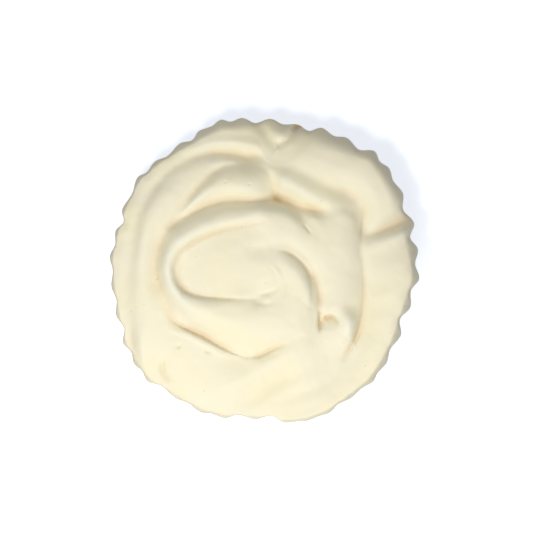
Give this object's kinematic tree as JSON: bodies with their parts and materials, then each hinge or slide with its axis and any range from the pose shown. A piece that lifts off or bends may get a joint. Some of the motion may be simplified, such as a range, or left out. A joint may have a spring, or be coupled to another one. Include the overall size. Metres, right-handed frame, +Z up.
{
  "type": "shaving soap puck",
  "caption": "Round cast shaving soap puck with a fluted wall, a flat foot and a top of soft swirled folds, worked to a lather with a wet brush.",
  "frame": {"origin": "middle of the flat foot, on the axis of the fluted wall", "axes": "+Z up from the foot to the swirled top, +Y towards the small knob on the rim, +X to its right"},
  "size_m": [0.0716, 0.0708, 0.0266],
  "materials": {
    "moulded_soap": "satin",
    "swirled_soap": "satin"
  },
  "bodies": {
    "root": {"fluted_base": "moulded_soap", "left_rim_fold": "swirled_soap", "rim_knob": "swirled_soap", "upper_rim_fold": "swirled_soap", "right_rim_fold": "swirled_soap", "bottom_strand": "swirled_soap", "lower_fold": "swirled_soap", "swirl_shelf": "swirled_soap", "left_roll": "swirled_soap", "arch_lobe": "swirled_soap", "diagonal_roll": "swirled_soap", "right_band": "swirled_soap", "hook_curl": "swirled_soap", "swirl_ribbon": "swirled_soap", "centre_curl": "swirled_soap", "swirl_floor": "swirled_soap"}
  },
  "joints": []
}
